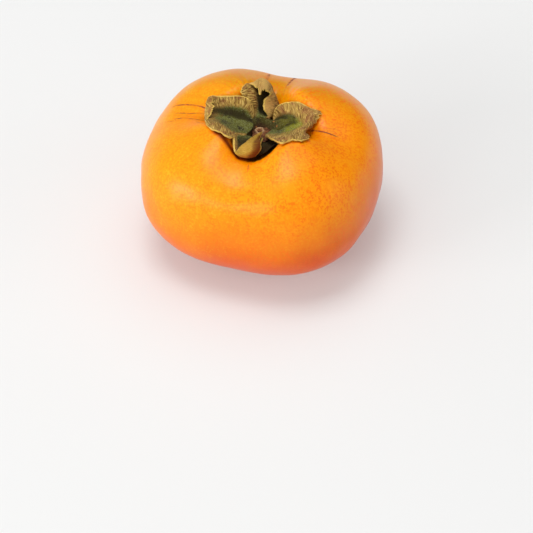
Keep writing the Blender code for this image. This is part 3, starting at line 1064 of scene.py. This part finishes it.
FRONT_CAGE = (
    ((-59, -36, 466), (-43, -40, 463), (-26, -43, 461), (-9, -44, 458), (5, -40, 458)),
    ((-92, -66, 504), (-73, -76, 485), (-54, -82, 479), (-32, -84, 473), (-1, -80, 469)),
    ((-94, -116, 513), (-77, -110, 487), (-55, -116, 479), (-29, -114, 472), (-1, -106, 470)),
    ((-91, -151, 506), (-81, -158, 496), (-67, -156, 484), (-45, -150, 474), (-20, -136, 468)),
    ((-85, -149, 500), (-70, -150, 498), (-48, -150, 498), (-23, -140, 496), (-6, -122, 481)),
    ((-70, -128, 499), (-58, -128, 507), (-40, -122, 507), (-20, -112, 502), (-6, -100, 489)),
    ((-48, -98, 497), (-37, -92, 499), (-26, -84, 495), (-15, -76, 486), (-7, -70, 482)),
    ((-2, -34, 479), (-1, -33, 479), (0, -32, 478), (0, -31, 478), (1, -30, 478)),
)
BACK_FINISH = SepalFinish(
    name="sepal_back_finish", gold=0.5, underside=paint(238, 192, 108), underside_shade=paint(72, 50, 18))
LEFT_SEPAL = Sepal(
    "sepal_left", LEFT_CAGE, SepalFinish(name="sepal_left_finish"), seed=3,
    fresh_across=(0, 0.35, 1, 1, 0.7, 0), fresh_onward=(1, 1, 1, 0.9, 0.55, 0.1, 0),
    fold_shade_across=(0, 0.15, 1, 0.15, 0.5, 0), fold_shade_onward=(0.9, 1, 1, 1, 0.9, 0.7, 0.3))
BACK_SEPAL = Sepal(
    "sepal_back", BACK_CAGE, BACK_FINISH, seed=4,
    fresh_across=(0, 0.2, 0.6, 1, 0.5, 0), fresh_onward=(1, 0.9, 0.5, 0.2, 0, 0, 0),
    fold_shade_across=(0, 0.6, 1, 1, 0.3, 0), fold_shade_onward=(0.5, 1, 1, 1, 1, 0.3, 0),
    underside_shade_across=(0.3, 0.65, 0.35, 0.0, 0.0, 0.0))
RIGHT_SEPAL = Sepal(
    "sepal_right", RIGHT_CAGE, SepalFinish(name="sepal_right_finish"), seed=5, lime=0.9,
    fresh_across=(0, 0.4, 1, 0.8, 0.1, 0), fresh_onward=(1, 1, 1, 0.9, 0.5, 0, 0),
    fold_shade_across=(0, 0.3, 0.4, 1, 0.8, 0.15, 0), fold_shade_onward=(1, 1, 1, 0.8, 0.4, 0, 0))
FRONT_FINISH = SepalFinish(name="sepal_front_finish", gold=0.5, underside=paint(206, 158, 44))
FRONT_SEPAL = Sepal(
    "sepal_front", FRONT_CAGE, FRONT_FINISH, seed=6,
    fresh_across=(0.2, 1, 1, 1, 0.5), fresh_onward=(1, 0.9, 0.4, 0.1, 0, 0, 0, 0),
    fold_shade_across=(0.1, 0.8, 1, 1, 0.8), fold_shade_onward=(0.5, 0.9, 1, 0.5, 0, 0, 0, 0),
    underside_shade_across=(0, 0, 0.1, 0.8, 1))


@dataclass(frozen=True)
class Calyx:
    """The fleshy middle and the four sepals round it."""

    fruit: FruitBody
    cut: SepalCut = SepalCut()
    sepals: tuple[Sepal, ...] = (LEFT_SEPAL, BACK_SEPAL, RIGHT_SEPAL, FRONT_SEPAL)
    finish: FleshyFinish = FleshyFinish()
    arms: tuple[float, ...] = (170.0, 86.0, 7.0, 247.0)
    arm_spread: float = 0.42
    arm_share: float = 0.14
    disc_radius: float = 0.0098
    disc_thickness: float = 0.0014
    cushion_height: float = 0.0032
    cushion_radius: float = 0.0058
    cushion_spread: float = 0.0019
    cushion_share: float = 0.75
    gap_azimuth: float = 312.0
    gap_spread: float = 0.5
    lumps: tuple[tuple[float, float, int], ...] = ((0.00018, 0.0028, 12), (0.00008, 0.0011, 14))
    lump_seed: int = 70
    top_start: float = 0.5
    disc_rings: int = 90
    disc_points: int = 180

    def build_sepal(self, sepal: Sepal) -> Piece:
        """Makes one sepal, with ribs along its fibres and a rounded, ragged edge.

        Args:
            sepal: Its form.

        Returns:
            The piece.
        """
        cut = self.cut
        u = cut.gathered(np.linspace(0, 1, cut.rows + 1))
        v = cut.gathered(np.linspace(-1, 1, cut.columns + 1))
        middle, forth, aside = sepal.surface(u, v, self.fruit, cut)
        fan = cut.fan(forth[:, len(v) // 2, None], aside)
        margin = np.minimum(aside - aside[:, :1], aside[:, -1:] - aside)
        to_edge = np.minimum(margin, forth[-1:] - forth)
        grown = smooth_step(forth, *cut.rib_start) * smooth_step(np.abs(aside), *cut.rib_aside)
        flat = as_points(forth, aside)
        wander = ripples(flat, cut.wander_length, cut.wander_waves, sepal.seed + cut.wander_seed)
        crumples = ripples(flat, cut.crumple_length, cut.crumple_waves, sepal.seed + cut.crumple_seed)
        ribs = np.sin(2 * pi * (fan + cut.rib_wander * wander))
        relief = grown * (cut.rib_height * ribs + cut.crumple * crumples)
        middle = middle + sheet_normals(middle) * relief[..., None]
        thinned = (cut.root_thickness - cut.margin_thickness) * (1 - smooth_step(u))[:, None]
        rounding = np.sqrt(1 - (1 - np.clip(to_edge / cut.edge_round, 0, 1)) ** 2)
        points, faces, source, side = closed_blade(middle, (cut.margin_thickness + thinned) * rounding)

        share = (1 + v) / 2
        upper = side > -1
        lime = sepal.lime * smooth_step(u, *cut.lime_onward)
        grids = {
            "fan": fan,
            "outward": np.abs(aside) / np.abs(aside).max(),
            "fresh": along(sepal.fresh_onward, u)[:, None] * along(sepal.fresh_across, share),
            # Painted shade in the folds on the upper face.
            "hollow": along(sepal.fold_shade_onward, u)[:, None] * along(sepal.fold_shade_across, share),
            # Painted shade on the underside.
            "lee": np.broadcast_to(along(sepal.underside_shade_across, share), fan.shape),
            "edge": np.clip(to_edge / cut.worn_and_lit_edge, 0, 1),
            "lime": lime[:, None] * smooth_step(share, *cut.lime_across),
        }
        masks = {"fresh": upper, "hollow": upper, "lee": side < 1}
        values = {name: grid.ravel()[source] * masks.get(name, 1) for name, grid in grids.items()}
        piece = make_piece(sepal.name, points, faces, sepal.finish.make(), {**values, "side": side})
        return settle(piece, "calyx")

    def build_middle(self) -> Piece:
        """Makes the fleshy middle: a flattened sphere laid into the hollow, with a cushion before each sepal.

        Returns:
            The piece.
        """
        turn, azimuth = globe_grid(self.disc_rings, self.disc_points)
        toward = sum(bell(self._between(azimuth, arm), self.arm_spread) for arm in self.arms)
        radius = self.disc_radius * np.sin(turn) * (1 - self.arm_share + self.arm_share * toward)
        x, y = off_centre(radius, azimuth)
        gap = bell(self._between(azimuth, self.gap_azimuth), self.gap_spread)
        cushion = bell(radius - self.cushion_radius, self.cushion_spread)
        cushion = cushion * (self.cushion_share + (1 - self.cushion_share) * toward) * (1 - gap)
        relief = self.cushion_height * cushion
        for seed, (height, length, count) in enumerate(self.lumps, self.lump_seed):
            relief = relief + height * ripples(as_points(x, y), length, count, seed)
        middle = self.fruit.above_crown(x, y, self.cut.clearance + self.disc_thickness / 2)
        upper = smooth_step(np.cos(turn) / self.top_start)
        z = middle + np.cos(turn) * self.disc_thickness / 2 + upper * relief
        piece = make_piece("calyx_middle", *pole_to_pole(as_points(x, y, z)), self.finish.make(), {})
        return settle(piece, "calyx")

    @staticmethod
    def _between(azimuth: Array, degrees: float) -> Array:
        """The turn from a direction in degrees to each azimuth, in radians from -pi to pi."""
        return np.angle(np.exp(1j * (azimuth - radians(degrees))))

    def build(self) -> list[Piece]:
        """Makes the middle and the sepals."""
        return [self.build_middle(), *(self.build_sepal(sepal) for sepal in self.sepals)]


# The stub and the blossom point


@dataclass(frozen=True)
class StalkStub:
    """The dry stub of the stalk: a low corky button with a raised pale ring round its pith."""

    finish: CorkFinish = CorkFinish()
    fill: float = 0.97
    outline: tuple[tuple[float, int, float], ...] = ((0.04, 3, 0.6), (0.02, 5, 2.0))
    side_power: float = 0.85
    ring_radius: float = 0.00125
    ring_growth: float = 0.13
    ring_squeeze: float = 0.85
    ring_width: float = 0.00030
    ring_height: float = 0.00045
    ring_shift: tuple[float, float] = (-0.0008, 0.0010)
    pith_share: float = 0.6
    pith_depth: float = 0.0004
    lump: float = 0.00014
    lump_length: float = 0.0012
    lump_waves: int = 14
    lump_seed: int = 80
    edge_drop: float = 0.0008
    base_drop: float = 0.0002
    waist: float = 0.08
    rings: int = 90
    ring_points: int = 160

    def build(self) -> Piece:
        """Makes the stub within the height and width of its solid.

        The top sinks from its middle to its rim by a power of the radius, with lumps. The ring is
        a bell curve about a circle whose radius grows with the angle, as on a spiral.

        Returns:
            The piece.
        """
        low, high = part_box("stalk_stub")
        reach = (high.x - low.x) / 2
        turn, azimuth = globe_grid(self.rings, self.ring_points)
        outline = 1 + sum(share * np.sin(turns * azimuth + start) for share, turns, start in self.outline)
        radius = reach * self.fill * outline * np.abs(np.sin(turn)) ** self.side_power
        x, y = off_centre(radius, azimuth)
        share = np.clip(radius / reach, 0, 1)
        off_x, off_y = x - self.ring_shift[0], y - self.ring_shift[1]
        spiral = self.ring_radius * (1 + self.ring_growth * np.arctan2(off_y, off_x) / pi)
        ring = bell(np.hypot(off_x, off_y * self.ring_squeeze) - spiral, self.ring_width)
        pith = bell(np.hypot(off_x, off_y), self.ring_radius * self.pith_share)
        lumps = self.lump * ripples(as_points(x, y), self.lump_length, self.lump_waves, self.lump_seed)
        top = high.z - self.ring_height - self.edge_drop * share ** 4 + lumps
        top = top + self.ring_height * ring - self.pith_depth * pith
        upper = np.cos(turn) > 0
        z = np.where(upper, np.minimum(top, high.z), low.z + self.base_drop * share)
        z = np.where(np.abs(np.cos(turn)) < self.waist, (high.z + low.z - self.edge_drop) / 2, z)
        values = {"ring": ring_values(ring * upper)}
        piece = make_piece("stalk_stub_wood", *pole_to_pole(as_points(x, y, z)), self.finish.make(), values)
        return settle(piece, "stalk_stub")


@dataclass(frozen=True)
class BlossomPoint:
    """The withered tip of the blossom in the dimple under the fruit."""

    finish: CorkFinish = CorkFinish(name="withered_blossom", dark=paint(34, 20, 14), light=paint(70, 46, 30))
    narrowing: float = 0.55
    ribs: int = 5
    rib_depth: float = 0.1
    rings: int = 24
    ring_points: int = 48

    def build(self) -> Piece:
        """Makes the point within its solid's box: a cone that narrows downwards, with ribs down its side.

        Returns:
            The piece.
        """
        low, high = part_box("blossom_point")
        turn, azimuth = globe_grid(self.rings, self.ring_points)
        height = (1 - np.cos(turn)) / 2
        ribbed = 1 - self.rib_depth + self.rib_depth * np.cos(self.ribs * azimuth)
        radius = (high.x - low.x) / 2 * (1 - self.narrowing * height) * np.sqrt(np.sin(turn)) * ribbed
        rings = as_points(*off_centre(radius, azimuth), high.z - (high.z - low.z) * height)
        points, faces = pole_to_pole(rings)
        piece = make_piece("blossom_tip", points, faces, self.finish.make(), {"ring": np.zeros(len(points))})
        return settle(piece, "blossom_point")


# The studio


@dataclass(frozen=True)
class SoftBox:
    """A square lamp: where it hangs, in degrees, how wide it is and how bright."""

    name: str
    azimuth: float
    elevation: float
    side: float
    power: float
    distance: float = 1.6


@dataclass(frozen=True)
class Studio:
    """White card, soft lamps and the camera."""

    floor: FloorFinish = FloorFinish()
    floor_side: float = 8.0
    sky: Colour = (0.97, 0.98, 0.96, 1.0)
    sky_strengths: tuple[float, float] = (0.18, 0.68)
    bright_side: tuple[float, float, float] = (-0.72, -0.60, 0.34)
    lamps: tuple[SoftBox, ...] = (
        SoftBox("key", azimuth=200, elevation=82, side=0.7, power=10.0),
        SoftBox("window", azimuth=200, elevation=12, side=0.4, power=6.2),
        SoftBox("pane", azimuth=216, elevation=18, side=0.35, power=4.4),
        SoftBox("sill", azimuth=237, elevation=25, side=0.45, power=2.4),
        SoftBox("top", azimuth=65, elevation=64, distance=1.7, side=1.2, power=4.3),
        SoftBox("right", azimuth=345, elevation=18, side=1.0, power=3.2),
    )
    sky_turn: tuple[float, float] = (-0.7, 0.9)
    distance: float = 1.2
    elevation: float = 43.0
    pixels_per_metre: float = 2987.0
    centre_pixel: tuple[float, float] = (262.13, 173.53)
    sensor: float = 36.0
    nearest: float = 0.05

    def build_floor(self) -> None:
        """Lays the card."""
        corners = self.floor_side / 2 * np.array([(-1, -1, 0), (1, -1, 0), (1, 1, 0), (-1, 1, 0)])
        make_piece("floor", corners, [[0, 1, 2, 3]], self.floor.make(), {})

    def build_lamp(self, box: SoftBox, target: Vector) -> None:
        """Hangs one lamp, turned to the target.

        Args:
            box: The lamp.
            target: What it lights.
        """
        light = bpy.data.lights.new(box.name, "AREA")
        light.shape = "SQUARE"
        light.size = box.side
        light.energy = box.power
        lamp = bpy.data.objects.new(box.name, light)
        lamp.visible_camera = False
        turn, climb = radians(box.azimuth), radians(box.elevation)
        away = Vector((cos(turn) * cos(climb), sin(turn) * cos(climb), sin(climb)))
        lamp.location = target + away * box.distance
        lamp.rotation_euler = (-away).to_track_quat("-Z", "Y").to_euler()
        bpy.context.scene.collection.objects.link(lamp)

    def build_sky(self) -> None:
        """Fills the room with white light, brighter from the side where the windows are."""
        bench = Bench("white_room", bpy.data.worlds)
        toward = bench.node("TexCoord", {}, {}, "Generated")
        sides = {0: toward, 1: self.bright_side}
        facing = bench.node("VectorMath", {"operation": "DOT_PRODUCT"}, sides, "Value")
        dim, bright = self.sky_strengths
        light = {"Color": self.sky, "Strength": dim + facing.rise(*self.sky_turn) * (bright - dim)}
        bpy.context.scene.world = bench.finish(light, "Background", "OutputWorld")
        bpy.context.scene.view_settings.view_transform = "Standard"

    def build_camera(self, centre: Vector) -> None:
        """Sets the camera, turned so that the middle of the fruit's widest level is on the centre pixel.

        The lens gives the scale at the fruit's distance.

        Args:
            centre: The middle of the fruit's widest level.
        """
        climb = radians(self.elevation)
        focal = self.pixels_per_metre * self.distance
        onward = Vector((0, cos(climb), -sin(climb)))
        right, up = Vector((1, 0, 0)), Vector((0, sin(climb), cos(climb)))
        aside = self.centre_pixel[0] - IMAGE_SIDE / 2
        above = IMAGE_SIDE / 2 - self.centre_pixel[1]
        aim = onward * focal - right * aside - up * above
        data = bpy.data.cameras.new("camera")
        data.sensor_width = self.sensor
        data.lens = focal / IMAGE_SIDE * self.sensor
        data.clip_start = self.nearest
        camera = bpy.data.objects.new("camera", data)
        camera.location = centre - onward * self.distance
        camera.rotation_euler = aim.to_track_quat("-Z", "Y").to_euler()
        bpy.context.scene.collection.objects.link(camera)
        bpy.context.scene.camera = camera

    def build(self, centre: Vector) -> None:
        """Makes the floor, the light and the camera.

        Args:
            centre: The middle of the fruit's widest level.
        """
        self.build_floor()
        self.build_sky()
        for box in self.lamps:
            self.build_lamp(box, centre)
        self.build_camera(centre)


def main() -> None:
    """Builds the studio and every part of the fruit, and reports each piece."""
    logging.basicConfig(level=logging.INFO, format="%(name)s: %(message)s")
    fruit = FruitBody()
    Studio().build(Vector((0, 0, fruit.equator_height)))
    for piece in (fruit.build(), *Calyx(fruit).build(), StalkStub().build(), BlossomPoint().build()):
        log.info("%s: %d faces", piece.name, len(piece.data.polygons))


if __name__ == "__main__":
    main()
